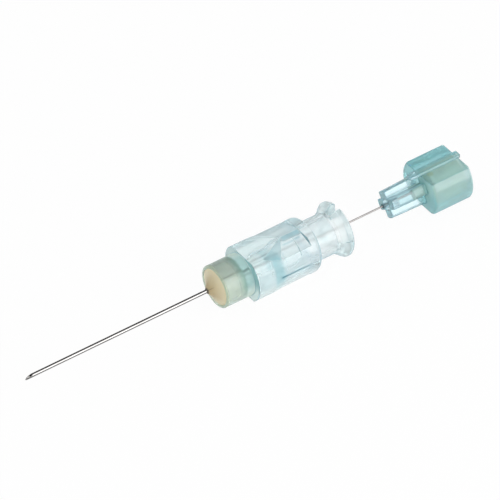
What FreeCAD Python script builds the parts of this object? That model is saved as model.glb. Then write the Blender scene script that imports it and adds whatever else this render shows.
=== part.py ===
import FreeCAD, Part
import math
import os
import Sketcher

# Spinal needle with its stylet part withdrawn: a clear hub with a luer socket, a bevelled steel
# cannula bonded into it, and a tinted stylet cap on a wire that slides in the cannula.
# The needle lies along X with its point towards -X and +Z up. The origin is the centre of the
# socket's mouth. Lengths are in millimetres.

SIZES = [
    ("cannula_outer", 0.51, "outside diameter of the steel cannula"),
    ("cannula_inner", 0.30, "inside diameter of the steel cannula"),
    ("wire_diameter", 0.24, "diameter of the stylet wire"),
    ("needle_length", 30.0, "cannula length in front of the hub"),
    ("bevel_length", 1.25, "length of the ground bevel"),
    ("bevel_margin", 0.2, "share of the bevel by which its cut runs past the point"),
    ("mouth_diameter", 4.27, "socket diameter at its mouth"),
    ("socket_taper", 0.06, "diameter lost for each unit of depth"),
    ("socket_depth", 7.5, "depth of the tapered socket"),
    ("chamber_diameter", 3.4, "flashback chamber behind the socket"),
    ("chamber_length", 2.2, "length of the chamber"),
    ("throat_diameter", 2.3, "narrow front chamber"),
    ("throat_length", 2.3, "length of the narrow front chamber"),
    ("funnel_length", 1.5, "cone between the chamber and the throat"),
    ("lead_in_length", 1.2, "cone that leads the wire into the cannula"),
    ("flange_radius", 3.72, "radius of the rim at the mouth"),
    ("flange_length", 0.75, "straight part of the rim"),
    ("flare_length", 1.3, "cone from the neck to the rim"),
    ("ear_radius", 3.92, "outer radius of the two lock ears"),
    ("ear_shoulder", 3.7, "radius at the shoulder of an ear"),
    ("ear_length", 0.95, "length of an ear from the rim to its shoulder"),
    ("ear_flank", 0.8, "length of the ear's sloping front flank"),
    ("ear_set_back", 0.29, "bare rim behind the ears"),
    ("ear_angle", 96.0, "angle covered by one ear"),
    ("ear_turn", 48.0, "turn of the upper ear from the top of the hub towards +Y"),
    ("neck_radius", 2.87, "radius of the neck"),
    ("neck_length", 2.9, "neck between the rim's flare and the grip"),
    ("grip_length", 10.45, "length of the faceted grip"),
    ("grip_front_radius", 3.98, "barrel radius at the front of the grip"),
    ("grip_rear_radius", 3.90, "barrel radius at the rear of the grip"),
    ("grip_step_start", 2.7, "where the barrel starts to step down"),
    ("grip_step_length", 1.4, "length of the barrel's step"),
    ("grip_flat", 3.16, "height of the grip's flats over the axis"),
    ("grip_shoulder", 0.08, "flat step between the neck and the rounding of the grip's rear edge"),
    ("crease_start", 1.8, "where the diagonal crease leaves the flat's edge"),
    ("ridge_start", 6.2, "where the crease reaches the middle of the flat"),
    ("fold_start", 4.2, "where the sloping facet starts at the side"),
    ("collar_length", 1.5, "full collar behind the sloping facets"),
    ("roof_angle", 15.0, "slope of the facets each side of the ridge"),
    ("boss_radius", 3.05, "radius of the front boss"),
    ("boss_length", 4.4, "length of the front boss"),
    ("boss_wall", 0.36, "wall of the glue cup in the boss"),
    ("boss_round", 0.12, "rounding of the boss rim"),
    ("cup_depth", 3.3, "depth of the glue cup"),
    ("glue_recess", 0.1, "how far the glue's edge lies inside the rim"),
    ("glue_rise", 1.45, "how far the glue climbs the cannula past the rim"),
    ("glue_hollow", 0.16, "how far the glue's face is hollowed"),
    ("key_width", 0.95, "width of the stylet key"),
    ("key_bottom", 2.45, "underside of the key over the axis"),
    ("key_top", 2.97, "top of the key over the axis"),
    ("key_reach", 1.6, "how far the key stands in front of the cap"),
    ("key_tail", 0.3, "how far the key stands out behind the cap"),
    ("key_gap", 0.1, "clearance of the key in the rim's notch"),
    ("cap_length", 6.1, "length of the stylet cap"),
    ("cap_radius", 3.93, "barrel radius of the stylet cap"),
    ("cap_flat", 2.52, "height of the cap's flats over the axis"),
    ("cap_front_round", 0.4, "rounding of the cap's front rim"),
    ("cap_rear_round", 0.2, "rounding of the cap's rear rim"),
    ("plug_length", 5.4, "length of the fluted plug"),
    ("plug_gap", 0.03, "radial clearance of the plug in the socket"),
    ("lobe_width", 1.5, "width of each of the plug's four lobes"),
    ("lobe_turn", 33.0, "turn of the first lobe from the top of the cap"),
    ("core_radius", 0.3, "thin core that carries the wire"),
    ("core_tip_radius", 0.36, "flared tip of the core"),
    ("core_reach", 0.55, "how far the core stands in front of the lobes"),
    ("core_recess_radius", 0.78, "radius of the recess round the core"),
    ("core_recess_depth", 1.4, "depth of the recess round the core"),
    ("well_radius", 1.95, "glue well in the stylet cap"),
    ("well_depth", 5.0, "depth of the glue well"),
    ("well_nose_radius", 0.85, "narrow front part of the glue well"),
    ("well_nose_depth", 2.6, "depth of the narrow front part"),
    ("well_fill_gap", 0.25, "how far the glue stays inside the well"),
    ("wire_anchor", 1.5, "length of wire that stands in the wide part of the well"),
    ("stylet_out", 13.0, "how far the stylet is withdrawn"),
    ("seat_gap", 0.1, "gap between the seated cap and the rim"),
    ("margin", 1.0, "how far a cut runs past the material"),
]
TOLERANCE = 1e-4

doc = FreeCAD.newDocument("spinal_needle")
sheet = doc.addObject("Spreadsheet::Sheet", "Sizes")
for row, (alias, value, note) in enumerate(SIZES, start=1):
    sheet.set("A%d" % row, alias)
    sheet.set("B%d" % row, str(value))
    sheet.set("C%d" % row, note)
    sheet.setAlias("B%d" % row, alias)
doc.recompute()


# Places along X and radii, as expressions on the sheet's cells.
MOUTH_RADIUS = "(Sizes.mouth_diameter / 2)"
SOCKET_END_RADIUS = "(%s - Sizes.socket_taper / 2 * Sizes.socket_depth)" % MOUTH_RADIUS
CHAMBER_RADIUS = "(Sizes.chamber_diameter / 2)"
THROAT_RADIUS = "(Sizes.throat_diameter / 2)"
CANNULA_RADIUS = "(Sizes.cannula_outer / 2)"
LUMEN_RADIUS = "(Sizes.cannula_inner / 2)"
WIRE_RADIUS = "(Sizes.wire_diameter / 2)"
CUP_RADIUS = "(Sizes.boss_radius - Sizes.boss_wall)"

FLARE_REAR = "(-Sizes.flange_length)"
NECK_REAR = "(%s - Sizes.flare_length)" % FLARE_REAR
GRIP_REAR = "(%s - Sizes.neck_length)" % NECK_REAR
GRIP_FRONT = "(%s - Sizes.grip_length)" % GRIP_REAR
HUB_FRONT = "(%s - Sizes.boss_length)" % GRIP_FRONT
STEP_FRONT = "(%s + Sizes.grip_step_start)" % GRIP_FRONT
STEP_REAR = "(%s + Sizes.grip_step_length)" % STEP_FRONT
CUP_FLOOR = "(%s + Sizes.cup_depth)" % HUB_FRONT
SOCKET_END = "(-Sizes.socket_depth)"
CHAMBER_FRONT = "(%s - Sizes.chamber_length)" % SOCKET_END
THROAT_REAR = "(%s - Sizes.funnel_length)" % CHAMBER_FRONT
THROAT_FRONT = "(%s - Sizes.throat_length)" % THROAT_REAR
CANNULA_REAR = "(%s - Sizes.lead_in_length)" % THROAT_FRONT
NEEDLE_TIP = "(%s - Sizes.needle_length)" % HUB_FRONT

CAP_FRONT = "(Sizes.seat_gap + Sizes.stylet_out)"
CAP_REAR = "(%s + Sizes.cap_length)" % CAP_FRONT
PLUG_FRONT = "(%s - Sizes.plug_length)" % CAP_FRONT
CORE_FRONT = "(%s - Sizes.core_reach)" % PLUG_FRONT
PLUG_BASE_RADIUS = "(%s - Sizes.plug_gap)" % MOUTH_RADIUS
PLUG_TIP_RADIUS = "(%s - Sizes.socket_taper / 2 * Sizes.plug_length)" % PLUG_BASE_RADIUS
WELL_FLOOR = "(%s - Sizes.well_depth)" % CAP_REAR
WELL_NOSE = "(%s - Sizes.well_nose_depth)" % WELL_FLOOR
FILL_REAR = "(%s - Sizes.well_fill_gap)" % CAP_REAR
WIRE_TIP = "(%s + Sizes.stylet_out)" % NEEDLE_TIP
WIRE_END = "(%s + Sizes.wire_anchor)" % WELL_FLOOR
OUTSIDE = "(Sizes.grip_front_radius + Sizes.margin)"


def new_body(label):
    """Starts a sub-part with its own origin planes."""
    body = doc.addObject("PartDesign::Body", label)
    body.Label = label
    doc.recompute()
    return body


def origin_feature(body, role):
    """Finds one of the body's own origin planes or axes."""
    return next(item for item in body.Origin.OriginFeatures if item.Role == role)


def new_sketch(body, name, plane, out="0", turn_axis=None, turn="0"):
    """Attaches a sketch to an origin plane, moved out along its normal and turned."""
    sketch = body.newObject("Sketcher::SketchObject", name)
    sketch.AttachmentSupport = [(origin_feature(body, plane), "")]
    sketch.MapMode = "FlatFace"
    if turn_axis is not None:
        sketch.AttachmentOffset = FreeCAD.Placement(FreeCAD.Vector(), FreeCAD.Rotation(turn_axis, 1))
        sketch.setExpression("AttachmentOffset.Rotation.Angle", turn)
    sketch.setExpression("AttachmentOffset.Base.z", out)
    return sketch


def evaluate(expression):
    """Gives an expression's value now, as the start value of a constraint."""
    return float(sheet.evalExpression(expression))


def pin_point(sketch, geometry, end, point):
    """Dimensions one point of a sketch from the sketch's origin."""
    for kind, expression in zip(("DistanceX", "DistanceY"), point):
        value = evaluate(expression)
        index = sketch.addConstraint(Sketcher.Constraint(kind, -1, 1, geometry, end, value))
        sketch.setExpression("Constraints[%d]" % index, expression)


def outline(sketch, points, arcs=None):
    """Draws a closed outline through points given as expressions. arcs maps a side's number to
    the expression of its radius, positive where the arc bulges to the left of its direction."""
    arcs = arcs or {}
    places = [FreeCAD.Vector(evaluate(x), evaluate(y), 0) for x, y in points]
    count = len(points)
    ends = []
    for side in range(count):
        start, stop = places[side], places[(side + 1) % count]
        if side in arcs:
            radius = evaluate(arcs[side])
            chord = stop - start
            across = FreeCAD.Vector(-chord.y, chord.x, 0).normalize()
            rise = abs(radius) - math.sqrt(radius ** 2 - (chord.Length / 2) ** 2)
            middle = (start + stop) / 2 + across * math.copysign(rise, radius)
            geometry = sketch.addGeometry(Part.Arc(start, middle, stop), False)
            curve = sketch.Geometry[geometry]
            forward = (curve.StartPoint - start).Length < (curve.EndPoint - start).Length
            ends.append((geometry, 1, 2) if forward else (geometry, 2, 1))
        else:
            ends.append((sketch.addGeometry(Part.LineSegment(start, stop), False), 1, 2))
    for side in range(count):
        geometry, first, last = ends[side]
        follower, follower_first, follower_last = ends[(side + 1) % count]
        sketch.addConstraint(Sketcher.Constraint("Coincident", geometry, last, follower, follower_first))
        pin_point(sketch, geometry, first, points[side])
        if side in arcs:
            radius = abs(evaluate(arcs[side]))
            index = sketch.addConstraint(Sketcher.Constraint("Radius", geometry, radius))
            sketch.setExpression("Constraints[%d]" % index, "abs(%s)" % arcs[side])
    return sketch


def rectangle(sketch, low_x, high_x, low_y, high_y):
    """Draws a dimensioned rectangle."""
    return outline(sketch, [(low_x, low_y), (high_x, low_y), (high_x, high_y), (low_x, high_y)])


def circle(sketch, radius):
    """Draws a circle round the sketch's origin."""
    value = evaluate(radius)
    geometry = sketch.addGeometry(Part.Circle(FreeCAD.Vector(), FreeCAD.Vector(0, 0, 1), value), False)
    sketch.addConstraint(Sketcher.Constraint("Coincident", geometry, 3, -1, 1))
    index = sketch.addConstraint(Sketcher.Constraint("Radius", geometry, value))
    sketch.setExpression("Constraints[%d]" % index, radius)
    return sketch


def revolve(body, name, sketch, cut=False):
    """Turns a half profile about X, as material or as a cut."""
    feature = body.newObject("PartDesign::Groove" if cut else "PartDesign::Revolution", name)
    feature.Profile = sketch
    feature.ReferenceAxis = (sketch, ["H_Axis"])
    feature.Angle = 360
    return feature


def slot(body, name, sketch, width):
    """Cuts a profile from the XZ plane, to both sides equally."""
    feature = body.newObject("PartDesign::Pocket", name)
    feature.Profile = sketch
    feature.Midplane = True
    feature.setExpression("Length", width)
    return feature


def pocket_ahead(body, name, sketch, length):
    """Cuts a profile that faces along X, towards +X."""
    feature = body.newObject("PartDesign::Pocket", name)
    feature.Profile = sketch
    feature.setExpression("Length", length)
    feature.Reversed = True
    return feature


def pad_ahead(body, name, sketch, length):
    """Raises a profile that faces along X, towards +X."""
    feature = body.newObject("PartDesign::Pad", name)
    feature.Profile = sketch
    feature.setExpression("Length", length)
    return feature


def pattern_about_x(body, name, feature, copies):
    """Repeats a feature evenly about X."""
    pattern = body.newObject("PartDesign::PolarPattern", name)
    pattern.Originals = [feature]
    pattern.Axis = (origin_feature(body, "X_Axis"), [""])
    pattern.Angle = 360
    pattern.Occurrences = copies
    body.Tip = pattern
    return pattern


def mirror(body, name, feature, plane):
    """Mirrors a feature in one of the body's origin planes."""
    mirrored = body.newObject("PartDesign::Mirrored", name)
    mirrored.Originals = [feature]
    mirrored.MirrorPlane = (origin_feature(body, plane), [""])
    body.Tip = mirrored
    return mirrored


def round_rim(body, name, place, radius, amount):
    """Rounds the circular edges that lie at a place along X with a given radius."""
    doc.recompute()
    x, wanted = evaluate(place), evaluate(radius)
    base = body.Tip
    edges = []
    for number, edge in enumerate(base.Shape.Edges, start=1):
        curve = edge.Curve
        if isinstance(curve, Part.Circle) and abs(curve.Center.x - x) < TOLERANCE:
            if abs(curve.Radius - wanted) < TOLERANCE:
                edges.append("Edge%d" % number)
    feature = body.newObject("PartDesign::Fillet", name)
    feature.Base = (base, edges)
    feature.setExpression("Radius", amount)
    return feature


def make_cannula_hub():
    """The clear moulding: glue cup, faceted grip, neck and locking rim round a tapered socket."""
    body = new_body("cannula_hub")
    outer = new_sketch(body, "hub_outer", "XZ_Plane")
    outline(outer, [
        (HUB_FRONT, "0"),
        (HUB_FRONT, "Sizes.boss_radius"),
        (GRIP_FRONT, "Sizes.boss_radius"),
        (GRIP_FRONT, "Sizes.grip_front_radius"),
        (STEP_FRONT, "Sizes.grip_front_radius"),
        (STEP_REAR, "Sizes.grip_rear_radius"),
        (GRIP_REAR, "Sizes.grip_rear_radius"),
        (GRIP_REAR, "Sizes.neck_radius"),
        (NECK_REAR, "Sizes.neck_radius"),
        (FLARE_REAR, "Sizes.flange_radius"),
        ("0", "Sizes.flange_radius"),
        ("0", "0"),
    ])
    revolve(body, "hub_turned", outer)
    round_rim(body, "grip_rear_round", GRIP_REAR, "Sizes.grip_rear_radius",
              "Sizes.grip_rear_radius - Sizes.neck_radius - Sizes.grip_shoulder")
    round_rim(body, "boss_rim_round", HUB_FRONT, "Sizes.boss_radius", "Sizes.boss_round")
    add_lock_ears(body)
    cut_grip_facets(body)
    cut_hub_bores(body)
    cut_key_notch(body)
    return body


def add_lock_ears(body):
    """Two ears on the rim that a locking collar's thread catches."""
    profile = new_sketch(body, "ear_profile", "XZ_Plane", turn_axis=FreeCAD.Vector(1, 0, 0),
                         turn="-Sizes.ear_turn")
    ear_front = "(-Sizes.ear_length)"
    ear_foot = "(%s - Sizes.ear_flank)" % ear_front
    ear_crest = "(%s + (Sizes.ear_length - Sizes.ear_set_back) / 2)" % ear_front
    ear_root = "(Sizes.neck_radius / 2)"
    outline(profile, [
        (ear_foot, ear_root),
        (ear_foot, "Sizes.neck_radius"),
        (ear_front, "Sizes.ear_shoulder"),
        (ear_crest, "Sizes.ear_radius"),
        ("-Sizes.ear_set_back", "Sizes.ear_radius"),
        ("-Sizes.ear_set_back", ear_root),
    ])
    ear = revolve(body, "lock_ear", profile)
    ear.Midplane = True
    ear.setExpression("Angle", "Sizes.ear_angle")
    pattern_about_x(body, "lock_ears", ear, 2)


def cut_grip_facets(body):
    """Flats above and below the barrel. Behind a diagonal crease each flat turns into a low roof,
    whose ridge runs on at the flat's height up to a full collar."""
    flats = new_sketch(body, "grip_flats", "XZ_Plane")
    past_front = "(%s - Sizes.margin)" % GRIP_FRONT
    past_rear = "(%s + Sizes.neck_length / 2)" % GRIP_REAR
    rectangle(flats, past_front, past_rear, "Sizes.grip_flat", OUTSIDE)
    rectangle(flats, past_front, past_rear, "-" + OUTSIDE, "-Sizes.grip_flat")
    slot(body, "grip_flats_cut", flats, "2 * " + OUTSIDE)

    slope = "tan(Sizes.roof_angle)"
    half_flat = "sqrt(Sizes.grip_front_radius ^ 2 - Sizes.grip_flat ^ 2)"
    reach_term = "(Sizes.grip_flat ^ 2 * %s ^ 2 - (1 + %s ^ 2) * (Sizes.grip_flat ^ 2" \
                 " - Sizes.grip_rear_radius ^ 2))" % (slope, slope)
    reach = "((Sizes.grip_flat * %s + sqrt(%s)) / (1 + %s ^ 2))" % (slope, reach_term, slope)
    in_plan = "((Sizes.ridge_start - Sizes.crease_start) / %s)" % half_flat
    on_roof = "((Sizes.ridge_start - Sizes.fold_start) / %s)" % reach
    in_depth = "((%s - %s) / %s)" % (in_plan, on_roof, slope)
    ridge_front = "(%s + Sizes.ridge_start)" % GRIP_FRONT
    roof_rear = "(%s - Sizes.collar_length)" % GRIP_REAR

    sections = []
    for name, across in (("roof_at_ridge", "0"), ("roof_at_side", OUTSIDE)):
        foot = "(Sizes.grip_flat - %s * %s)" % (across, slope)
        front_foot = "(%s - %s * %s + %s * (Sizes.grip_flat - %s))" % (
            ridge_front, across, in_plan, in_depth, foot)
        front_top = "(%s - %s * %s + %s * (Sizes.grip_flat - %s))" % (
            ridge_front, across, in_plan, in_depth, OUTSIDE)
        section = new_sketch(body, name, "XZ_Plane", out=across)
        outline(section, [(front_foot, foot), (roof_rear, foot), (roof_rear, OUTSIDE),
                          (front_top, OUTSIDE)])
        sections.append(section)
    facet = body.newObject("PartDesign::SubtractiveLoft", "roof_facet")
    facet.Profile = (sections[0], [""])
    facet.Sections = [(sections[1], [""])]
    facet.Ruled = True
    mirror(body, "roof_facet_far", facet, "XZ_Plane")
    mirror(body, "roof_facet_under", facet, "XY_Plane")
    pattern_about_x(body, "roof_facet_opposite", facet, 2)


def cut_hub_bores(body):
    """Glue cup, cannula hole, lead-in cone, flashback chambers and tapered socket on one axis."""
    bores = new_sketch(body, "hub_bores", "XZ_Plane")
    outline(bores, [
        ("(%s - Sizes.margin)" % HUB_FRONT, "0"),
        ("(%s - Sizes.margin)" % HUB_FRONT, CUP_RADIUS),
        (CUP_FLOOR, CUP_RADIUS),
        (CUP_FLOOR, CANNULA_RADIUS),
        (CANNULA_REAR, CANNULA_RADIUS),
        (THROAT_FRONT, THROAT_RADIUS),
        (THROAT_REAR, THROAT_RADIUS),
        (CHAMBER_FRONT, CHAMBER_RADIUS),
        (SOCKET_END, CHAMBER_RADIUS),
        (SOCKET_END, SOCKET_END_RADIUS),
        ("0", MOUTH_RADIUS),
        ("Sizes.margin", MOUTH_RADIUS),
        ("Sizes.margin", "0"),
    ])
    revolve(body, "hub_bores_cut", bores, cut=True)


def cut_key_notch(body):
    """The notch in the rim that holds the seated stylet's key in line."""
    notch = new_sketch(body, "key_notch", "XZ_Plane")
    notch_front = "(Sizes.seat_gap - Sizes.key_reach - Sizes.key_gap)"
    rectangle(notch, notch_front, "Sizes.margin", "(Sizes.key_bottom - Sizes.key_gap)", OUTSIDE)
    slot(body, "key_notch_cut", notch, "Sizes.key_width + 2 * Sizes.key_gap")


def bevel_cut(body, name, point, radius):
    """Grinds a point whose opening faces up: the cut runs back from the lower side."""
    wedge = new_sketch(body, name, "XZ_Plane")
    over = "(Sizes.bevel_margin * Sizes.bevel_length)"
    rise = "(Sizes.bevel_margin * Sizes.cannula_outer)"
    low = "(-%s)" % CANNULA_RADIUS
    outline(wedge, [
        ("(%s - %s)" % (point, over), "(%s - %s)" % (low, rise)),
        ("(%s + Sizes.bevel_length + %s)" % (point, over), "(%s + %s)" % (CANNULA_RADIUS, rise)),
        ("(%s - %s)" % (point, over), "(%s + %s)" % (CANNULA_RADIUS, rise)),
    ])
    slot(body, name + "_cut", wedge, "4 * " + radius)


def make_cannula_tube():
    """The steel tube, ground to a bevel and flush with the lead-in cone at its rear."""
    body = new_body("cannula_tube")
    ring = circle(new_sketch(body, "tube_ring", "YZ_Plane", out=NEEDLE_TIP), CANNULA_RADIUS)
    circle(ring, LUMEN_RADIUS)
    pad_ahead(body, "tube", ring, "%s - %s" % (CANNULA_REAR, NEEDLE_TIP))
    bevel_cut(body, "tube_bevel", NEEDLE_TIP, CANNULA_RADIUS)
    return body


def make_cannula_adhesive():
    """The glue that fills the boss and climbs a little way along the cannula."""
    body = new_body("cannula_adhesive")
    fill = new_sketch(body, "glue_profile", "XZ_Plane")
    edge = "(%s + Sizes.glue_recess)" % HUB_FRONT
    climb = "(%s - Sizes.glue_rise)" % HUB_FRONT
    chord = "((Sizes.glue_rise + Sizes.glue_recess) ^ 2 + (%s - %s) ^ 2)" % (CUP_RADIUS, CANNULA_RADIUS)
    radius = "((%s / 4 + Sizes.glue_hollow ^ 2) / (2 * Sizes.glue_hollow))" % chord
    outline(fill, [
        (CUP_FLOOR, CANNULA_RADIUS),
        (climb, CANNULA_RADIUS),
        (edge, CUP_RADIUS),
        (CUP_FLOOR, CUP_RADIUS),
    ], arcs={1: "(-%s)" % radius})
    revolve(body, "glue_fill", fill)
    return body


def make_stylet_cap():
    """The tinted moulding: a flat-sided cap with a key, and a fluted plug that fits the socket."""
    body = new_body("stylet_cap")
    outer = new_sketch(body, "cap_outer", "XZ_Plane")
    outline(outer, [
        (CORE_FRONT, "0"),
        (CORE_FRONT, "Sizes.core_tip_radius"),
        (PLUG_FRONT, "Sizes.core_radius"),
        (PLUG_FRONT, PLUG_TIP_RADIUS),
        (CAP_FRONT, PLUG_BASE_RADIUS),
        (CAP_FRONT, "Sizes.cap_radius"),
        (CAP_REAR, "Sizes.cap_radius"),
        (CAP_REAR, "0"),
    ])
    revolve(body, "cap_turned", outer)
    round_rim(body, "front_rim_round", CAP_FRONT, "Sizes.cap_radius", "Sizes.cap_front_round")
    round_rim(body, "rear_rim_round", CAP_REAR, "Sizes.cap_radius", "Sizes.cap_rear_round")

    flats = new_sketch(body, "cap_flats", "XZ_Plane")
    behind = "(%s + Sizes.margin)" % CAP_REAR
    rectangle(flats, CAP_FRONT, behind, "Sizes.cap_flat", OUTSIDE)
    rectangle(flats, CAP_FRONT, behind, "-" + OUTSIDE, "-Sizes.cap_flat")
    slot(body, "cap_flats_cut", flats, "2 * " + OUTSIDE)

    ahead = "(%s - Sizes.margin)" % CORE_FRONT
    flute = new_sketch(body, "plug_flute", "YZ_Plane", out=ahead,
                       turn_axis=FreeCAD.Vector(0, 0, 1), turn="-Sizes.lobe_turn")
    rectangle(flute, "Sizes.lobe_width / 2", OUTSIDE, "Sizes.lobe_width / 2", OUTSIDE)
    first_flute = pocket_ahead(body, "plug_flute_cut", flute, "%s - %s" % (CAP_FRONT, ahead))
    pattern_about_x(body, "plug_flutes", first_flute, 4)

    key = new_sketch(body, "cap_key", "XZ_Plane")
    rectangle(key, "(%s - Sizes.key_reach)" % CAP_FRONT, "(%s + Sizes.key_tail)" % CAP_REAR,
              "Sizes.key_bottom", "Sizes.key_top")
    rib = body.newObject("PartDesign::Pad", "key_rib")
    rib.Profile = key
    rib.Midplane = True
    rib.setExpression("Length", "Sizes.key_width")

    recess = circle(new_sketch(body, "core_recess", "YZ_Plane", out=PLUG_FRONT), "Sizes.core_recess_radius")
    circle(recess, "Sizes.core_radius")
    pocket_ahead(body, "core_recess_cut", recess, "Sizes.core_recess_depth")

    bores = new_sketch(body, "cap_bores", "XZ_Plane")
    outline(bores, [
        (ahead, "0"),
        (ahead, WIRE_RADIUS),
        (WELL_NOSE, WIRE_RADIUS),
        (WELL_NOSE, "Sizes.well_nose_radius"),
        (WELL_FLOOR, "Sizes.well_nose_radius"),
        (WELL_FLOOR, "Sizes.well_radius"),
        (behind, "Sizes.well_radius"),
        (behind, "0"),
    ])
    revolve(body, "cap_bores_cut", bores, cut=True)
    return body


def make_stylet_wire():
    """The solid wire, ground to match the cannula's bevel when the cap is seated."""
    body = new_body("stylet_wire")
    section = circle(new_sketch(body, "wire_section", "YZ_Plane", out=WIRE_TIP), WIRE_RADIUS)
    pad_ahead(body, "wire", section, "%s - %s" % (WIRE_END, WIRE_TIP))
    bevel_cut(body, "wire_bevel", WIRE_TIP, CANNULA_RADIUS)
    return body


def make_stylet_adhesive():
    """The glue in the cap's well, round the end of the wire."""
    body = new_body("stylet_adhesive")
    fill = new_sketch(body, "well_profile", "XZ_Plane")
    outline(fill, [
        (WELL_NOSE, WIRE_RADIUS),
        (WELL_NOSE, "Sizes.well_nose_radius"),
        (WELL_FLOOR, "Sizes.well_nose_radius"),
        (WELL_FLOOR, "Sizes.well_radius"),
        (FILL_REAR, "Sizes.well_radius"),
        (FILL_REAR, "0"),
        (WIRE_END, "0"),
        (WIRE_END, WIRE_RADIUS),
    ])
    revolve(body, "well_fill", fill)
    return body


bodies = [
    make_cannula_hub(),
    make_cannula_tube(),
    make_cannula_adhesive(),
    make_stylet_cap(),
    make_stylet_wire(),
    make_stylet_adhesive(),
]
doc.recompute()

for item in doc.Objects:
    if "Invalid" in item.State or "Error" in item.State:
        raise RuntimeError("%s failed: %s" % (item.Name, item.State))

os.makedirs("parts", exist_ok=True)
for body in bodies:
    shape = body.Shape
    if shape.isNull() or not shape.isValid() or len(shape.Solids) != 1:
        raise RuntimeError("%s has no single valid solid" % body.Label)
    box = shape.BoundBox
    print("%-18s %9.3f mm3  x %.2f %.2f  y %.2f %.2f  z %.2f %.2f" % (
        body.Label, shape.Volume, box.XMin, box.XMax, box.YMin, box.YMax, box.ZMin, box.ZMax))
    shape.exportStep("parts/%s.step" % body.Label)
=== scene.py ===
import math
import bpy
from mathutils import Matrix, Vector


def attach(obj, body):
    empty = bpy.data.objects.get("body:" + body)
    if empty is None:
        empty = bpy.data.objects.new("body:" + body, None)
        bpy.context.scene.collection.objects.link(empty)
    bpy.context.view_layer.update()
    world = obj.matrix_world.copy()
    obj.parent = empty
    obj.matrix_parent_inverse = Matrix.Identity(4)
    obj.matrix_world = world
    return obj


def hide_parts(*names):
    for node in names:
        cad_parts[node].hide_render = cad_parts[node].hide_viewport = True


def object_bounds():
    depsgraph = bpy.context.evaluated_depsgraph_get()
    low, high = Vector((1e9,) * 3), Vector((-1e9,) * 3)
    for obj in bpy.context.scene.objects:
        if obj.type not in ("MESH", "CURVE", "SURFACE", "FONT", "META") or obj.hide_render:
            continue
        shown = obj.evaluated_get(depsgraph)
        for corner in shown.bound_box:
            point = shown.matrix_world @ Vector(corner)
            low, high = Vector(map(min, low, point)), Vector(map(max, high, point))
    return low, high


bl_info = {
    "name": "Spinal Needle",
    "version": (1, 0, 0),
    "blender": (4, 5, 0),
    "location": "View3D > Sidebar > Spinal Needle",
    "description": "Dresses a spinal needle and its drawn stylet over the packed model",
    "category": "Object",
}

import bmesh
import bpy
from bpy.props import FloatProperty, FloatVectorProperty, PointerProperty
from mathutils import Matrix, Vector

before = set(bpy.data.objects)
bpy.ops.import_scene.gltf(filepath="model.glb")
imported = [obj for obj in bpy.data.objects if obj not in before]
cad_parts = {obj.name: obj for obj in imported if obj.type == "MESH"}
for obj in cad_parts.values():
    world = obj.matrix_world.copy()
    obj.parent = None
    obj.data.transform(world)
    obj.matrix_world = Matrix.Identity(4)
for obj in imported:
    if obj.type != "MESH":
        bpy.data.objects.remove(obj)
CAD_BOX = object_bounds()

MM = 0.001
WHITE = (1, 1, 1, 1)

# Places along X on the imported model, in millimetres.
HUB_FRONT = -19.8
CUP_FLOOR = -16.5
GRIP_FRONT = -15.4
CREASE_FRONT = -13.6
STEP_FRONT = -12.7
STEP_REAR = -11.3
RIDGE_FRONT = -9.2
COLLAR_FRONT = -6.45
GRIP_REAR = -4.95
NECK_REAR = -2.05
CORE_FRONT = 7.15
PLUG_FRONT = 7.7
NOSE_FRONT = 11.6
CAP_FRONT = 13.1
WELL_FLOOR = 14.2
CAP_REAR = 19.2

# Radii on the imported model, in millimetres.
CUP_RADIUS = 2.69
TUBE_RADIUS = 0.255
WELL_RADIUS = 1.95
NOSE_RADIUS = 0.85
WIRE_RADIUS = 0.12

# Inside this radius lie the bores and the plug, in millimetres.
INSIDE_RADIUS = 2.3

# Where the picture is centred, along the needle and square to it, in millimetres.
FRAME_ALONG = -12.93
FRAME_ACROSS = 2.4

# The floor: half its width and how far it lies under the needle, in metres.
FLOOR_REACH = 3.0
FLOOR_GAP = 0.01 * MM


class Link:
    """An output socket that takes part in sums: each operator adds its Math node."""

    def __init__(self, graph, socket):
        self.graph = graph
        self.socket = socket

    def math(self, operation, *values):
        """A Math node over the values."""
        return self.graph.add("Math", {"operation": operation}, dict(enumerate(values)))

    def other(self, output):
        """Another output of the same node."""
        return Link(self.graph, self.socket.node.outputs[output])

    def __add__(self, value):
        return self.math("ADD", self, value)

    def __radd__(self, value):
        return self.math("ADD", value, self)

    def __sub__(self, value):
        return self.math("SUBTRACT", self, value)

    def __rsub__(self, value):
        return self.math("SUBTRACT", value, self)

    def __mul__(self, value):
        return self.math("MULTIPLY", self, value)

    def __rmul__(self, value):
        return self.math("MULTIPLY", value, self)

    def __truediv__(self, value):
        return self.math("DIVIDE", self, value)

    def __pow__(self, value):
        return self.math("POWER", self, value)

    def clamped(self):
        """The value held between 0 and 1."""
        return self.graph.add("Clamp", {}, {"Value": self})

    def size(self):
        """The value without its sign."""
        return self.math("ABSOLUTE", self)

    def step(self, low, high):
        """Rises smoothly from 0 at low to 1 at high."""
        return self.graph.add("MapRange", {"interpolation_type": "SMOOTHSTEP"},
                              {"Value": self, "From Min": low, "From Max": high})

    def fall(self, low, high):
        """Falls smoothly from 1 at low to 0 at high."""
        return 1 - self.step(low, high)

    def band(self, rise, fall):
        """Rises smoothly between the first two limits and falls between the other two."""
        return self.step(*rise) * self.fall(*fall)


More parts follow.
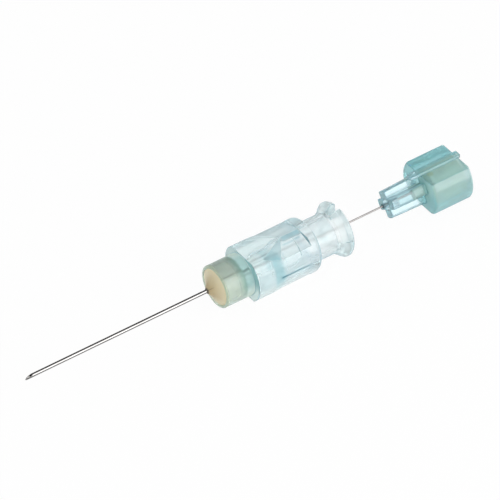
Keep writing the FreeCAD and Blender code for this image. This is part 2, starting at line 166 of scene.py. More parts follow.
class Graph:
    """Builds one node tree."""

    def __init__(self, tree):
        self.tree = tree
        tree.nodes.clear()

    def add(self, kind, settings, inputs, output=0):
        """Adds a node: its settings first, then the values or links of its sockets."""
        node = self.tree.nodes.new("ShaderNode" + kind)
        for name, value in settings.items():
            setattr(node, name, value)
        for key, value in inputs.items():
            if isinstance(value, Link):
                self.tree.links.new(value.socket, node.inputs[key])
            else:
                node.inputs[key].default_value = value
        return Link(self, node.outputs[output] if len(node.outputs) else None)

    def place(self):
        """The point's place on the object, in metres."""
        return self.add("TexCoord", {}, {}, "Object")

    def along(self, place):
        """The three coordinates of a place, as separate links."""
        split = self.add("SeparateXYZ", {}, {"Vector": place})
        return split, split.other("Y"), split.other("Z")

    def off_axis(self, side, height):
        """The distance from the needle's axis."""
        return (side * side + height * height) ** 0.5

    def noise(self, place, scale, detail=3.0, stretch=(1, 1, 1)):
        """Smooth noise from 0 to 1, stretched along the axes."""
        turned = self.add("Mapping", {}, {"Vector": place, "Scale": stretch})
        return self.add("TexNoise", {}, {"Vector": turned, "Scale": scale, "Detail": detail})

    def blend(self, share, first, second):
        """Mixes two colours."""
        inputs = {"Factor": share, 6: first, 7: second}
        return self.add("Mix", {"data_type": "RGBA"}, inputs, 2)

    def mix(self, share, first, second):
        """Mixes two shaders."""
        return self.add("MixShader", {}, {0: share, 1: first, 2: second})

    def bump(self, height, strength, distance, **base):
        """A normal that follows a height, over a base Normal if one is given."""
        inputs = {"Strength": strength, "Distance": distance, "Height": height, **base}
        return self.add("Bump", {}, inputs)

    def finish(self, surface, volume=None):
        """Ends the tree in its output node."""
        links = {"Surface": surface}
        if volume is not None:
            links["Volume"] = volume
        kind = "OutputWorld" if isinstance(self.tree.id_data, bpy.types.World) else "OutputMaterial"
        self.add(kind, {}, links)


def opaque(color):
    """A colour with full alpha."""
    return (*color, 1.0)


def scaled(color, share):
    """A share of a colour, with full alpha."""
    return opaque([share * part for part in color])


def new_graph(name):
    """A material by name with an empty node tree."""
    material = bpy.data.materials.new(name)
    material.use_nodes = True
    return material, Graph(material.node_tree)


def clear_moulding(name, look, marks):
    """Injection-moulded plastic that light passes through. It is hazier where the melt swirled,
    long paths through it take up the deep tint, and its rounded edges carry painted lines: a
    painted highlight on faces that look up, painted shade on the others, and none in front of the
    quiet front. A dark painted outline is mixed in at grazing angles. Bores are matt.
    marks gives more layers, each a share, a colour and a haze, from the place and the normal."""
    material, graph = new_graph(name)
    place = graph.place()
    x, side, height = graph.along(place)
    swirl = graph.noise(place, 240.0, 2.0, (0.5, 1, 1))
    ripple = graph.noise(place, 1400.0, 3.0)
    rounded = graph.add("Bevel", {"samples": 6}, {"Radius": look.edge})
    flat = graph.add("NewGeometry", {}, {}, "Normal")
    bent = graph.add("VectorMath", {"operation": "DOT_PRODUCT"}, {0: rounded, 1: flat}, "Value")
    facing = graph.along(flat)
    drawn = x.step(look.quiet - 0.1 * MM, look.quiet)
    edge = (1 - bent).step(0.0, 0.06) * drawn
    inner = graph.off_axis(side, height).fall(look.bore * 0.97, look.bore)
    dark = opaque(look.line)
    # Painted lines on the rounded edges: a painted highlight on faces that look up, painted shade
    # on the others.
    line = graph.blend(facing[2].step(0.55, 0.85), dark, opaque(look.glint))
    pale = graph.blend(swirl.step(0.3, 0.7), opaque(look.tint), WHITE)
    skin = opaque(look.tint)
    marked = 0.0
    for share, color, cloudy in marks(graph, place, facing):
        pale = graph.blend(share, pale, opaque(color))
        skin = graph.blend(share, skin, opaque(color))
        marked = share * cloudy + marked
    bump = graph.bump(swirl + ripple * 0.12, 0.06, 0.4 * MM, Normal=rounded)
    body = graph.add("BsdfPrincipled", {}, {
        "Base Color": graph.blend(edge * 0.9, pale, line),
        "Roughness": look.roughness * (0.7 + ripple * 0.6) + inner * 0.32 + (1 - drawn) * 0.2,
        "IOR": look.ior,
        "Coat Weight": 0.1 + drawn * 0.4,
        "Coat Roughness": 0.04,
        "Transmission Weight": 1.0,
        "Normal": bump,
    })
    skin = graph.blend(edge * 0.9, skin, line)
    milk = graph.add("BsdfTranslucent", {}, {"Color": skin, "Normal": bump})
    veil = graph.add("BsdfDiffuse", {}, {"Color": skin, "Normal": bump})
    rim = graph.add("LayerWeight", {}, {"Blend": 0.5}, "Facing") ** 3
    scattered = look.haze * (0.8 + swirl * 0.4) + edge * 0.35 + rim * 0.3 + marked
    surface = graph.mix((scattered * (1 - inner)).clamped(), body, graph.mix(0.4, milk, veil))
    # A dark painted outline where the surface turns away at grazing angles.
    outline = graph.add("BsdfDiffuse", {}, {"Color": dark})
    outlined = rim ** 1.5 * (0.25 + drawn * 0.6) - marked.clamped() * 0.8
    depth = graph.add("VolumeAbsorption", {}, {"Color": opaque(look.deep), "Density": look.density})
    graph.finish(graph.mix(outlined.clamped(), surface, outline), depth)
    return material


def hub_marks(graph, place, facing):
    """What the hub's moulding shows, from its front backwards, each mark a share, a colour and a
    haze. Most marks are painted shade and painted light. Places and lengths are in millimetres."""
    x, side, height = (part / MM for part in graph.along(place))
    away = side.size()
    upright = height.size()
    lean = facing[0].size()
    slope = facing[2].size()

    # The boss: teal painted shade over the glue's end, deeper on the shaded side, painted light
    # behind the glue on the lit side, and the warm front.
    shaded = height.step(-1.5, 1.0) * side.fall(-0.5, 2.2)
    boss = x.fall(GRIP_FRONT - 0.1, GRIP_FRONT + 0.1)
    stain_and_shade = boss * x.step(CUP_FLOOR - 1.5, CUP_FLOOR + 0.1)
    yield stain_and_shade * (0.3 + shaded * 0.6), (0.36, 0.60, 0.57), 0.3
    behind = boss * x.step(CUP_FLOOR - 0.3, CUP_FLOOR + 0.05) * (1 - shaded)
    yield behind * 0.6, (0.78, 0.84, 0.70), 0.4
    front = x.fall(HUB_FRONT + 0.1, HUB_FRONT + 0.35)
    yield front * 0.75, (0.70, 0.76, 0.60), 0.35

    # The grip's front face, in teal painted shade, deeper on the shaded side.
    face = x.band((GRIP_FRONT - 0.1, GRIP_FRONT - 0.02), (GRIP_FRONT + 0.02, GRIP_FRONT + 0.1))
    face = face * lean.step(0.8, 0.95)
    yield face * (0.15 + shaded * 0.65), (0.26, 0.54, 0.52), 0.3

    # Painted shade along the ridge between the roof facets, and on the diagonal facets, on the
    # sides turned to them.
    turned = (side * height).fall(-0.3, 0.0)
    roof = slope.band((0.93, 0.95), (0.975, 0.99))
    ridge = x.band((RIDGE_FRONT - 0.4, RIDGE_FRONT + 0.2),
                   (COLLAR_FRONT - 0.15, COLLAR_FRONT + 0.05))
    yield roof * ridge * away.fall(0.5, 1.0) * turned * 0.85, (0.34, 0.56, 0.62), 0.25
    diagonal = lean.band((0.16, 0.18), (0.23, 0.25))
    crease = x.band((CREASE_FRONT - 0.3, CREASE_FRONT), (RIDGE_FRONT, RIDGE_FRONT + 0.2))
    yield diagonal * crease * turned * 0.6, (0.38, 0.60, 0.66), 0.25

    # Painted shade on the flanks and round the step in the barrel, deeper on the near and upper
    # side.
    flank = x.band((GRIP_FRONT + 0.1, GRIP_FRONT + 0.3), (-7.5, -6.5))
    flank = flank * away.step(3.0, 3.6) * height.step(-1.0, -0.3)
    yield flank * 0.4, (0.66, 0.82, 0.89), 0.12
    step = x.band((STEP_FRONT - 0.3, STEP_FRONT + 0.3), (STEP_REAR - 0.3, STEP_REAR + 0.7))
    step = step * upright.fall(2.4, 3.2)
    step = step * (0.8 - side.step(-1.0, 2.0) * 0.5) * (0.5 + height.step(-2.5, 0.5) * 0.5)
    yield step, (0.34, 0.62, 0.68), 0.3

    # The collar: painted shadow on its front step, painted light on the underside and the far side,
    # and painted shade on the near shoulder.
    wedge = x.band((COLLAR_FRONT - 0.15, COLLAR_FRONT - 0.05),
                   (COLLAR_FRONT + 0.05, COLLAR_FRONT + 0.15))
    yield wedge * lean.step(0.85, 0.95) * turned * 0.9, (0.16, 0.34, 0.40), 0.3
    low = x.band((GRIP_FRONT + 0.1, GRIP_FRONT + 0.3), (-6.0, -5.2)) * height.fall(-2.4, -0.4)
    yield low * 0.9, (0.98, 1.0, 1.0), 0.4
    far = x.band((COLLAR_FRONT - 0.05, COLLAR_FRONT + 0.15), (GRIP_REAR, GRIP_REAR + 0.05))
    yield far * side.step(0.5, 2.5) * height.step(-0.5, 1.5) * 0.9, (0.84, 0.98, 1.0), 0.6
    shoulder = x.band((-5.9, -5.4), (GRIP_REAR - 0.03, GRIP_REAR + 0.05)) * height.fall(-0.5, 2.5)
    yield shoulder * 0.55, (0.36, 0.58, 0.70), 0.2

    # The rim, with a painted highlight.
    rim = x.step(NECK_REAR + 0.05, NECK_REAR + 0.45) * graph.off_axis(side, height).step(3.0, 3.3)
    yield rim * 0.6, (0.92, 1.0, 1.0), 0.22

    # The mould's parting lines: one along the barrel that tapers to the rear, one on the boss.
    width = 0.30 - (x + 11.8) * 0.04
    seam = x.band((-11.9, -11.6), (-7.6, -6.2)) * away.step(3.7, 3.8) * upright.fall(0.0, width)
    yield seam, (0.10, 0.25, 0.32), 0.5
    angle = away.math("ARCTAN2", away, upright)
    boss_seam = x.fall(CUP_FLOOR - 0.4, CUP_FLOOR - 0.1) * (angle - 0.62).size().fall(0.014, 0.036)
    yield boss_seam * 0.6, (0.30, 0.36, 0.28), 0.4


def cap_marks(graph, place, facing):
    """What the cap's moulding shows: its thin plug is paler than its solid body, its flats and
    flanks carry painted light and shade by the way they face, the glue's front shines through, the
    plug's front is deeper in tone with painted shade in the hole at its core, and its rear rim
    carries a painted highlight. Lengths are in millimetres."""
    x, side, height = (part / MM for part in graph.along(place))
    off_square = side * side + height * height
    yield x.fall(CAP_FRONT - 1.1, CAP_FRONT + 0.1) * 0.75, (0.84, 0.95, 1.0), -0.25
    body = x.step(CAP_FRONT - 0.05, CAP_FRONT + 0.05)
    # Painted shade and painted light on the flats and flanks, by the way they face.
    level = facing[2].size().step(0.9, 0.97)
    turned = (side * height).step(-0.4, 0.4)
    yield body * level * turned * 0.45, (0.32, 0.72, 0.80), 0.0
    yield body * level * (1 - turned) * 0.3, (0.64, 0.74, 0.58), 0.0
    flank = facing[1].size().step(0.5, 0.9) * height.step(-2.4, -0.8)
    yield body * flank * 0.45, (0.86, 0.84, 0.78), 0.0
    spot = ((x - 14.3) ** 2 + (side + 0.9) ** 2).fall(0.03, 0.4)
    yield spot * height.step(2.2, 2.4) * 0.45, (0.40, 0.46, 0.24), 0.1
    yield x.fall(PLUG_FRONT + 0.05, PLUG_FRONT + 0.3) * 0.3, (0.38, 0.70, 0.80), 0.0
    # Painted shade in the hole at the plug's core.
    hole = x.fall(CORE_FRONT + 0.01, CORE_FRONT + 0.15) * (off_square ** 0.5).fall(0.25, 0.45)
    yield hole * 0.9, (0.04, 0.06, 0.06), 0.7
    # A painted highlight on the rear rim.
    rim = x.step(CAP_REAR - 0.24, CAP_REAR - 0.18) * off_square.step(12.6, 14.0)
    yield rim * 0.8, (0.92, 1.0, 1.0), 0.3


def drawn_steel(name, color, roughness, upper, lower):
    """Drawn and polished steel, with fine lines along X. A darker band of painted reflection runs
    along the upper and the lower side; upper and lower are the shares of the colour that stay in
    them."""
    material, graph = new_graph(name)
    place = graph.place()
    _, side, height = graph.along(place)
    lines = graph.noise(place, 1.0, 3.0, (120, 9000, 9000))
    stain_and_shade = graph.noise(place, 300.0, 2.0)
    radius = graph.off_axis(side, height)
    turn = (side + height) / radius
    near = ((height - side) / radius).step(-0.5, -0.1)
    body = graph.blend(stain_and_shade.step(0.35, 0.75), opaque(color), scaled(color, 0.82))
    # Painted reflection: darker bands along the upper and the lower side.
    body = graph.blend(turn.step(0.3, 0.75) * near, body, scaled(color, upper))
    body = graph.blend(turn.fall(-1.05, -0.7) * near, body, scaled(color, lower))
    graph.finish(graph.add("BsdfPrincipled", {}, {
        "Base Color": body,
        "Metallic": 1.0,
        "Specular Tint": scaled(color, 0.5),
        "Roughness": roughness * (0.7 + lines * 0.6),
        "Normal": graph.bump(lines, 0.08, 0.01 * MM),
    }))
    return material


def cured_glue(name, edge, heart, wall, shade, root, reach, core):
    """Cured glue: smooth and a little waxy, darker round the steel at its heart. Where it is bonded
    to plastic, at its reach, it shows the wall colour, and on top the shade. core is the share of
    the root's colour round the steel, and of the steel's shadow on it."""
    material, graph = new_graph(name)
    place = graph.place()
    _, side, height = graph.along(place)
    radius = graph.off_axis(side, height)
    cloud = graph.noise(place, 500.0, 3.0)
    share = (radius / reach + (cloud - 0.5) * 0.35).step(0.1, 1.0)
    open_face = graph.blend(share, opaque(heart), opaque(edge))
    dark = radius.fall(0.36 * MM, 0.56 * MM)
    shadow = (side + height).size().fall(0.03 * MM, 0.14 * MM) * radius.fall(0.7 * MM, 1.4 * MM)
    shadow = shadow * height.step(0, 0.1 * MM)
    open_face = graph.blend((dark + shadow * 0.45).clamped() * core, open_face, opaque(root))
    bonded = (radius / reach).step(0.96, 0.99)
    crown = graph.blend((height / radius).step(0.72, 0.86), opaque(wall), opaque(shade))
    graph.finish(graph.add("BsdfPrincipled", {}, {
        "Base Color": graph.blend(bonded, open_face, crown),
        "Roughness": 0.3 + cloud * 0.2,
        "Subsurface Weight": 0.35,
        "Subsurface Radius": (0.5 * MM, 0.4 * MM, 0.25 * MM),
        "Subsurface Scale": 1.0,
        "Normal": graph.bump(cloud, 0.15, 0.05 * MM),
    }))
    return material


class SpinalNeedleHub(bpy.types.PropertyGroup):
    """Tints and finish of the clear hub."""
    tint: FloatVectorProperty(
        name="Tint", description="Colour of the hub's surface",
        subtype="COLOR", size=3, default=(0.93, 0.985, 0.995))
    deep: FloatVectorProperty(
        name="Depth tint", description="Colour that long paths through the hub take up",
        subtype="COLOR", size=3, default=(0.45, 0.88, 0.92))
    # The line colour paints shade into the outline and the edges, the glint colour paints
    # highlights on edges that look up.
    line: FloatVectorProperty(
        name="Line", description="Colour of the hub's outline and of its edges",
        subtype="COLOR", size=3, default=(0.16, 0.38, 0.46))
    glint: FloatVectorProperty(
        name="Glint", description="Colour of the edges on faces that look up",
        subtype="COLOR", size=3, default=(0.98, 1.0, 1.0))
    density: FloatProperty(
        name="Density", description="Strength of the depth tint for each metre",
        default=34.0, min=0.0)
    haze: FloatProperty(
        name="Haze", description="Share of the hub's light that is scattered",
        subtype="FACTOR", default=0.22, min=0.0, max=1.0)
    roughness: FloatProperty(
        name="Roughness", description="Roughness of the hub's outside",
        subtype="FACTOR", default=0.06, min=0.0, max=1.0)
    ior: FloatProperty(
        name="Refraction", description="Index of refraction of the clear plastic",
        default=1.38, min=1.0)
    edge: FloatProperty(
        name="Edge rounding", description="Radius that the hub's edges shade with",
        subtype="DISTANCE", unit="LENGTH", default=0.16 * MM, min=0.0, precision=6)
    bore: FloatProperty(
        name="Matt bore", description="Radius under which the hub's bores are matt",
        subtype="DISTANCE", unit="LENGTH", default=INSIDE_RADIUS * MM, min=0.0, precision=6)
    quiet: FloatProperty(
        name="Quiet front", description="Place along X in front of which edges are not drawn",
        subtype="DISTANCE", unit="LENGTH", default=(GRIP_FRONT - 0.2) * MM, precision=5)
    join: FloatProperty(
        name="Bonded depth", description="How far glue and steel reach into the plastic",
        subtype="DISTANCE", unit="LENGTH", default=0.02 * MM, min=0.0, precision=6)


class SpinalNeedleCap(bpy.types.PropertyGroup):
    """Tints and finish of the stylet cap."""
    tint: FloatVectorProperty(
        name="Tint", description="Colour of the cap's surface",
        subtype="COLOR", size=3, default=(0.58, 0.84, 0.86))
    deep: FloatVectorProperty(
        name="Depth tint", description="Colour that long paths through the cap take up",
        subtype="COLOR", size=3, default=(0.15, 0.75, 0.80))
    # The line colour paints shade into the outline and the edges, the glint colour paints lighter
    # lines on edges that look up.
    line: FloatVectorProperty(
        name="Line", description="Colour of the cap's outline and of its edges",
        subtype="COLOR", size=3, default=(0.14, 0.30, 0.35))
    glint: FloatVectorProperty(
        name="Glint", description="Colour of the edges on faces that look up",
        subtype="COLOR", size=3, default=(0.30, 0.55, 0.60))
    density: FloatProperty(
        name="Density", description="Strength of the depth tint for each metre",
        default=130.0, min=0.0)
    haze: FloatProperty(
        name="Haze", description="Share of the cap's light that is scattered",
        subtype="FACTOR", default=0.34, min=0.0, max=1.0)
    roughness: FloatProperty(
        name="Roughness", description="Roughness of the cap's outside",
        subtype="FACTOR", default=0.12, min=0.0, max=1.0)
    ior: FloatProperty(
        name="Refraction", description="Index of refraction of the tinted plastic",
        default=1.44, min=1.0)
    edge: FloatProperty(
        name="Edge rounding", description="Radius that the cap's edges shade with",
        subtype="DISTANCE", unit="LENGTH", default=0.16 * MM, min=0.0, precision=6)
    bore: FloatProperty(
        name="Matt bore", description="Radius under which the cap's bores are matt",
        subtype="DISTANCE", unit="LENGTH", default=0.1 * MM, min=0.0, precision=6)
    quiet: FloatProperty(
        name="Quiet front", description="Place along X in front of which edges are not drawn",
        subtype="DISTANCE", unit="LENGTH", default=0.0, precision=5)


class SpinalNeedleSteel(bpy.types.PropertyGroup):
    """Finish of the cannula and the wire, with bands of painted reflection along them."""
    color: FloatVectorProperty(
        name="Colour", description="Colour of the polished cannula",
        subtype="COLOR", size=3, default=(0.42, 0.41, 0.40))
    wire: FloatVectorProperty(
        name="Wire", description="Colour of the stylet's matt wire",
        subtype="COLOR", size=3, default=(0.46, 0.44, 0.43))
    roughness: FloatProperty(
        name="Roughness", description="Roughness of the cannula, a third of the wire's",
        subtype="FACTOR", default=0.16, min=0.0, max=0.33)
    # The bands are painted reflection along the cannula's upper and lower sides.
    upper: FloatProperty(
        name="Upper band", description="Share of the colour along the cannula's upper side",
        subtype="FACTOR", default=0.12, min=0.0, max=1.0)
    lower: FloatProperty(
        name="Lower band", description="Share of the colour along the cannula's lower side",
        subtype="FACTOR", default=0.5, min=0.0, max=1.0)
    # The wire's bands are painted reflection too.
    matt: FloatProperty(
        name="Wire bands", description="Share of the colour along both sides of the wire",
        subtype="FACTOR", default=0.8, min=0.0, max=1.0)


class SpinalNeedleGlue(bpy.types.PropertyGroup):
    """Colours of the glue."""
    edge: FloatVectorProperty(
        name="Edge", description="Colour of the hub's glue at its edge",
        subtype="COLOR", size=3, default=(0.72, 0.65, 0.44))
    heart: FloatVectorProperty(
        name="Heart", description="Colour of the hub's glue round the cannula",
        subtype="COLOR", size=3, default=(0.44, 0.35, 0.19))
    wall: FloatVectorProperty(
        name="Wall", description="Colour of the hub's glue where it meets the plastic",
        subtype="COLOR", size=3, default=(0.50, 0.58, 0.48))
    shade: FloatVectorProperty(
        name="Shade", description="Colour of the hub's glue along its top",
        subtype="COLOR", size=3, default=(0.36, 0.43, 0.35))
    root: FloatVectorProperty(
        name="Root", description="Colour of the glue right at the steel",
        subtype="COLOR", size=3, default=(0.05, 0.045, 0.04))
    core: FloatProperty(
        name="Core", description="Share of the root's colour in the hub's glue",
        subtype="FACTOR", default=0.9, min=0.0, max=1.0)
    nose: FloatVectorProperty(
        name="Nose", description="Colour of the glue in the front of the cap's well",
        subtype="COLOR", size=3, default=(0.36, 0.52, 0.43))
    well: FloatVectorProperty(
        name="Well", description="Colour of the glue in the stylet cap",
        subtype="COLOR", size=3, default=(0.66, 0.67, 0.60))


class SpinalNeedleStage(bpy.types.PropertyGroup):
    """Camera and light."""
    azimuth: FloatProperty(
        name="Azimuth", description="Camera's turn about the vertical",
        subtype="ANGLE", default=math.radians(-32.5))
    elevation: FloatProperty(
        name="Elevation", description="Camera's height over the horizon",
        subtype="ANGLE", default=math.radians(40.2))
    roll: FloatProperty(
        name="Roll", description="Camera's turn about its own view",
        subtype="ANGLE", default=math.radians(3.35))
    frame_width: FloatProperty(
        name="Frame width", description="Width that the picture covers",
        subtype="DISTANCE", unit="LENGTH", default=65.8 * MM, precision=5)
    lens: FloatProperty(
        name="Lens", description="Focal length of the camera, in millimetres",
        default=800.0, min=1.0)
    key: FloatProperty(
        name="Key light", description="Power of the near softbox, in watts",
        default=0.9, min=0.0)
    ambient: FloatProperty(
        name="Ambient", description="Strength of the room's light",
        default=0.80, min=0.0)


class SpinalNeedleSettings(bpy.types.PropertyGroup):
    """All that can be set on the needle."""
    hub: PointerProperty(type=SpinalNeedleHub, name="Hub")
    cap: PointerProperty(type=SpinalNeedleCap, name="Cap")
    steel: PointerProperty(type=SpinalNeedleSteel, name="Steel")
    glue: PointerProperty(type=SpinalNeedleGlue, name="Glue")
    stage: PointerProperty(type=SpinalNeedleStage, name="Stage")


def merged_copy(node):
    """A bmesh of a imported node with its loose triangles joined."""
    bm = bmesh.new()
    bm.from_mesh(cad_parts[node].data)
    bmesh.ops.remove_doubles(bm, verts=bm.verts, dist=0.0005 * MM)
    return bm


def soften(bm, bore):
    """Shades curved faces smooth and keeps edges sharp above a limit, which is finer outside the
    bores, so that the grip's facets stay flat."""
    outer = math.radians(12.5)
    inner = math.radians(28)
    for face in bm.faces:
        face.smooth = True
    for edge in bm.edges:
        middle = (edge.verts[0].co + edge.verts[1].co) / 2
        limit = outer if math.hypot(middle.y, middle.z) > bore else inner
        edge.smooth = len(edge.link_faces) == 2 and edge.calc_face_angle(0.0) < limit


def make_piece(name, bm, body, nodes, material):
    """Turns a bmesh into a finished piece that rides on a body and stands for its nodes."""
    mesh = bpy.data.meshes.new(name)
    bm.to_mesh(mesh)
    bm.free()
    mesh.materials.append(material)
    piece = bpy.data.objects.new(name, mesh)
    bpy.context.scene.collection.objects.link(piece)
    shading = piece.modifiers.new("even_facets", "WEIGHTED_NORMAL")
    shading.keep_sharp = True
    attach(piece, body)
    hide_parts(*nodes)


def dress(node, material):
    """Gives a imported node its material."""
    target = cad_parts[node]
    target.data.materials.clear()
    target.data.materials.append(material)


def tighten(bm, radius, change, span, floor=None, shift=0.0):
    """Moves a bore's wall inwards, and its floor by a shift, so that what it holds reaches a little
    into the plastic. The radius, the span of X and the floor are in millimetres."""
    wall = radius * MM
    low, high = (end * MM for end in span)
    for vert in bm.verts:
        away = math.hypot(vert.co.y, vert.co.z)
        if abs(away - wall) < 0.003 * MM and low < vert.co.x < high:
            vert.co.y *= (wall - change) / wall
            vert.co.z *= (wall - change) / wall
            if floor is not None and abs(vert.co.x - floor * MM) < 0.002 * MM:
                vert.co.x += shift


class SPINALNEEDLE_OT_hub(bpy.types.Operator):
    """Makes the clear hub"""
    bl_idname = "spinal_needle.hub"
    bl_label = "Clear Hub"

    def execute(self, context):
        look = context.scene.spinal_needle.hub
        material = clear_moulding("clear_aqua", look, hub_marks)
        bm = merged_copy("cannula_hub")
        join = look.join
        tighten(bm, CUP_RADIUS, join, (HUB_FRONT - 0.1, CUP_FLOOR + 0.1), CUP_FLOOR, -join)
        tighten(bm, TUBE_RADIUS, join, (CUP_FLOOR - 0.5, CUP_FLOOR + 2.5))
        soften(bm, look.bore)
        make_piece("clear_hub", bm, "cannula", ["cannula_hub"], material)
        return {"FINISHED"}


class SPINALNEEDLE_OT_steel(bpy.types.Operator):
    """Finishes the cannula and the stylet's wire"""
    bl_idname = "spinal_needle.steel"
    bl_label = "Cannula and Wire"

    def execute(self, context):
        look = context.scene.spinal_needle.steel
        dress("cannula_tube", drawn_steel(
            "cannula_steel", look.color, look.roughness, look.upper, look.lower))
        dress("stylet_wire", drawn_steel(
            "wire_steel", look.wire, look.roughness * 3, look.matt, look.matt))
        return {"FINISHED"}


class SPINALNEEDLE_OT_glue(bpy.types.Operator):
    """Finishes the glue in the hub and in the cap"""
    bl_idname = "spinal_needle.glue"
    bl_label = "Glue"

    def execute(self, context):
        look = context.scene.spinal_needle.glue
        dress("cannula_adhesive", cured_glue(
            "hub_glue", look.edge, look.heart, look.wall, look.shade, look.root,
            CUP_RADIUS * MM, look.core))
        dress("stylet_adhesive", cured_glue(
            "cap_glue", look.well, look.nose, look.well, look.well, look.root,
            WELL_RADIUS * MM, 0.0))
        return {"FINISHED"}


class SPINALNEEDLE_OT_cap(bpy.types.Operator):
    """Makes the stylet's cap with its plug"""
    bl_idname = "spinal_needle.cap"
    bl_label = "Stylet Cap"

    def execute(self, context):
        look = context.scene.spinal_needle.cap
        join = context.scene.spinal_needle.hub.join
        material = clear_moulding("turquoise_moulding", look, cap_marks)
        bm = merged_copy("stylet_cap")
        tighten(bm, WELL_RADIUS, join, (WELL_FLOOR - 0.2, CAP_REAR - 0.2), WELL_FLOOR, join)
        tighten(bm, NOSE_RADIUS, join, (NOSE_FRONT - 0.1, WELL_FLOOR + 0.1), NOSE_FRONT, join)
        tighten(bm, WIRE_RADIUS, join / 2, (CORE_FRONT - 0.05, NOSE_FRONT + 0.1))
        soften(bm, INSIDE_RADIUS * MM)
        make_piece("tinted_cap", bm, "stylet", ["stylet_cap"], material)
        return {"FINISHED"}


class SPINALNEEDLE_OT_stage(bpy.types.Operator):
    """Sets up the floor, the lights and the camera"""
    bl_idname = "spinal_needle.stage"
    bl_label = "Stage"

    def execute(self, context):
        look = context.scene.spinal_needle.stage
        make_floor()
        make_world(look.ambient)
        make_lamps(look.key)
        make_camera(look)
        context.scene.view_settings.view_transform = "Standard"
        return {"FINISHED"}


def make_floor():
    """A pale floor that shows white, with the object's soft shadow."""
    material, graph = new_graph("pale_floor")
    path = graph.add("LightPath", {}, {}, "Is Camera Ray")
    seen = (path + path.other("Is Glossy Ray") + path.other("Is Transmission Ray")).clamped()
    grain = graph.noise(graph.place(), 90.0, 2.0)
    paint = graph.add("BsdfDiffuse", {}, {
        "Color": graph.blend(grain, opaque((0.93, 0.93, 0.93)), opaque((0.95, 0.95, 0.95)))})
    glow = graph.add("Emission", {}, {"Color": WHITE, "Strength": 1.0})
    graph.finish(graph.mix(seen * 0.95, paint, glow))
    bm = bmesh.new()
    bmesh.ops.create_grid(bm, x_segments=1, y_segments=1, size=FLOOR_REACH)
    bmesh.ops.translate(bm, verts=bm.verts, vec=(0, 0, CAD_BOX[0][2] - FLOOR_GAP))
    mesh = bpy.data.meshes.new("floor")
    bm.to_mesh(mesh)
    bm.free()
    mesh.materials.append(material)
    floor = bpy.data.objects.new("floor", mesh)
    bpy.context.scene.collection.objects.link(floor)


def make_world(ambient):
    """An even room: white where it is seen, through plastic and in steel too."""
    world = bpy.data.worlds.new("light_room")
    bpy.context.scene.world = world
    world.use_nodes = True
    graph = Graph(world.node_tree)
    path = graph.add("LightPath", {}, {}, "Is Camera Ray")
    through = path.other("Is Transmission Ray")
    mirrored = path.other("Is Glossy Ray") * (1 - through)
    _, depth, height = graph.along(graph.add("TexCoord", {}, {}, "Generated"))
    far_wall = depth.step(0.1, 0.6) * height.fall(0.5, 0.9)
    seen = (path + through).clamped()
    tint = graph.blend(through * far_wall * 0.4, WHITE, opaque((0.6, 0.8, 0.85)))
    lit = ambient * (1 - 0.5 * depth.step(-0.4, 0.8))
    strength = seen + (1 - seen) * (mirrored * (1 - far_wall * 0.85) + (1 - mirrored) * lit)
    graph.finish(graph.add("Background", {}, {"Color": tint, "Strength": strength}))


def make_lamps(key):
    """A softbox on the near side and a weaker one behind."""
    for name, place, size, power in (("near_softbox", (0.10, -0.34, 0.14), 0.30, key),
                                     ("edge_softbox", (-0.25, 0.26, 0.16), 0.15, key * 0.3)):
        lamp = bpy.data.lights.new(name, "AREA")
        lamp.size = size
        lamp.energy = power
        holder = bpy.data.objects.new(name, lamp)
        holder.location = place
        holder.rotation_euler = (-Vector(place)).to_track_quat("-Z", "Y").to_euler()
        bpy.context.scene.collection.objects.link(holder)


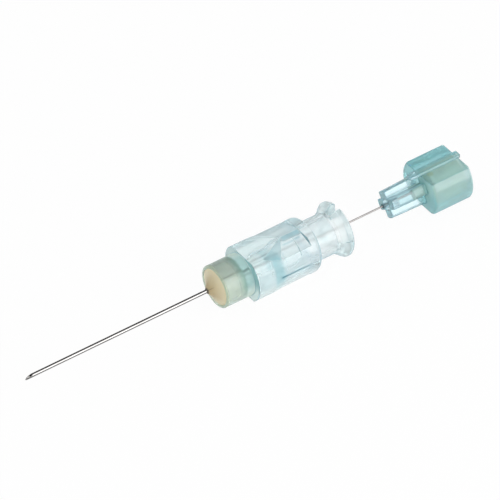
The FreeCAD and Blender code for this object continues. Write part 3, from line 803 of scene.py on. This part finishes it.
def make_camera(look):
    """A long lens at the photograph's angle, rolled a little."""
    level, turn = look.elevation, look.azimuth
    flat = math.cos(level)
    back = Vector((math.sin(turn) * flat, -math.cos(turn) * flat, math.sin(level)))
    right = Vector((math.cos(turn), math.sin(turn), 0))
    up = back.cross(right)
    right, up = (right * math.cos(look.roll) - up * math.sin(look.roll),
                 right * math.sin(look.roll) + up * math.cos(look.roll))
    lens = bpy.data.cameras.new("camera")
    lens.lens = look.lens
    lens.sensor_width = 36.0
    distance = look.frame_width * lens.lens / lens.sensor_width
    along = (Vector((1, 0, 0)) - back * back.x).normalized()
    across = back.cross(along)
    target = Vector((FRAME_ALONG * MM, 0, 0)) + across * (FRAME_ACROSS * MM)
    camera = bpy.data.objects.new("camera", lens)
    turned = Matrix((right, up, back)).transposed().to_4x4()
    camera.matrix_world = Matrix.Translation(target + back * distance) @ turned
    bpy.context.scene.collection.objects.link(camera)
    bpy.context.scene.camera = camera


class SPINALNEEDLE_PT_panel(bpy.types.Panel):
    """Lists the steps that dress the needle"""
    bl_idname = "SPINALNEEDLE_PT_panel"
    bl_label = "Spinal Needle"
    bl_space_type = "VIEW_3D"
    bl_region_type = "UI"
    bl_category = "Spinal Needle"

    def draw(self, context):
        settings = context.scene.spinal_needle
        for group, operator in ((settings.hub, SPINALNEEDLE_OT_hub),
                                (settings.steel, SPINALNEEDLE_OT_steel),
                                (settings.glue, SPINALNEEDLE_OT_glue),
                                (settings.cap, SPINALNEEDLE_OT_cap),
                                (settings.stage, SPINALNEEDLE_OT_stage)):
            box = self.layout.box()
            for name in group.__annotations__:
                box.prop(group, name)
            box.operator(operator.bl_idname)


GROUPS = (SpinalNeedleHub, SpinalNeedleCap, SpinalNeedleSteel, SpinalNeedleGlue,
          SpinalNeedleStage, SpinalNeedleSettings)
OPERATORS = (SPINALNEEDLE_OT_stage, SPINALNEEDLE_OT_hub, SPINALNEEDLE_OT_steel,
             SPINALNEEDLE_OT_glue, SPINALNEEDLE_OT_cap)


def register():
    """Registers the settings, the operators and the panel."""
    for item in GROUPS + OPERATORS + (SPINALNEEDLE_PT_panel,):
        bpy.utils.register_class(item)
    bpy.types.Scene.spinal_needle = PointerProperty(type=SpinalNeedleSettings)


def unregister():
    """Takes back what register added."""
    del bpy.types.Scene.spinal_needle
    for item in reversed(GROUPS + OPERATORS + (SPINALNEEDLE_PT_panel,)):
        bpy.utils.unregister_class(item)


def main():
    """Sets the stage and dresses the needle."""
    register()
    bpy.ops.spinal_needle.stage()
    bpy.ops.spinal_needle.hub()
    bpy.ops.spinal_needle.steel()
    bpy.ops.spinal_needle.glue()
    bpy.ops.spinal_needle.cap()


if __name__ == "__main__":
    main()
